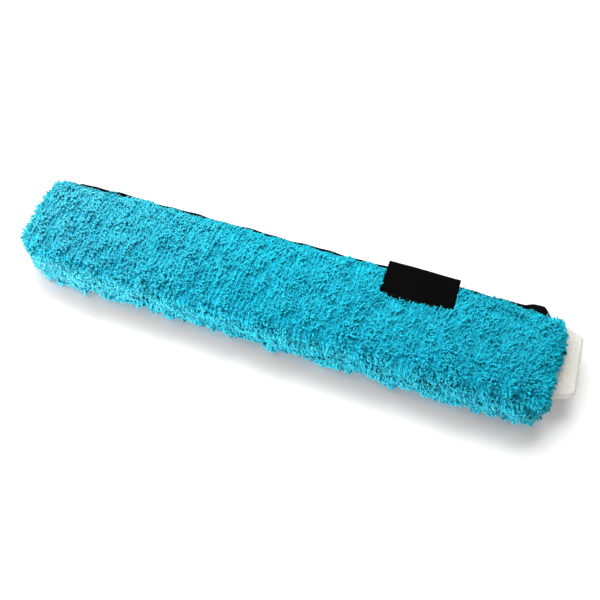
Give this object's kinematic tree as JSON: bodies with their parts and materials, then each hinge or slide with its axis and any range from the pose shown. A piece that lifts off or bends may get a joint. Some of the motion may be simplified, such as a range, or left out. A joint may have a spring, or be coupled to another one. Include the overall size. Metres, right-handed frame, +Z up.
{
  "type": "window scrubber sleeve",
  "caption": "Long-pile washer sleeve for a window scrubber: a folded cloth pocket with a hook and loop mouth, a handle gap, a folded label and a white scrub pad at one end.",
  "frame": {"origin": "middle of the flat back, the side that the sleeve lies on", "axes": "+X along the sleeve towards the scrub pad, +Y from the fold to the mouth, +Z up through the front"},
  "size_m": [0.3715, 0.0835, 0.031],
  "materials": {
    "pile": "matte",
    "binding": "matte",
    "hook_tape": "satin",
    "loop_tape": "matte",
    "label": "satin",
    "scrub_pad": "matte",
    "thread": "satin",
    "seam_thread": "satin"
  },
  "bodies": {
    "sleeve": {"pile_cloth": "pile", "back_binding": "binding", "left_hook_tape": "hook_tape", "right_hook_tape": "hook_tape", "hook_tape_stitches": "thread", "back_binding_stitches": "thread", "end_seam_stitches": "seam_thread"},
    "front_lip": {"lip_cloth": "pile", "front_binding": "binding", "left_loop_tape": "loop_tape", "right_loop_tape": "loop_tape", "loop_tape_stitches": "thread", "front_binding_stitches": "thread", "label": "label", "label_stitches": "thread"},
    "scrub_tongue": {"scrub_pad": "scrub_pad"}
  },
  "joints": [
    {"name": "lip_crease", "type": "hinge", "parent": "sleeve", "child": "front_lip", "pos_m": [0, 0.0105, 0.031], "axis": [1, 0, 0], "range_deg": [0, 75]},
    {"name": "pad_bend", "type": "hinge", "parent": "sleeve", "child": "scrub_tongue", "pos_m": [0.173, 0.007, 0.0155], "axis": [0, 1, 0], "range_deg": [-20, 20], "stiffness_Nm_per_rad": 0.05}
  ]
}
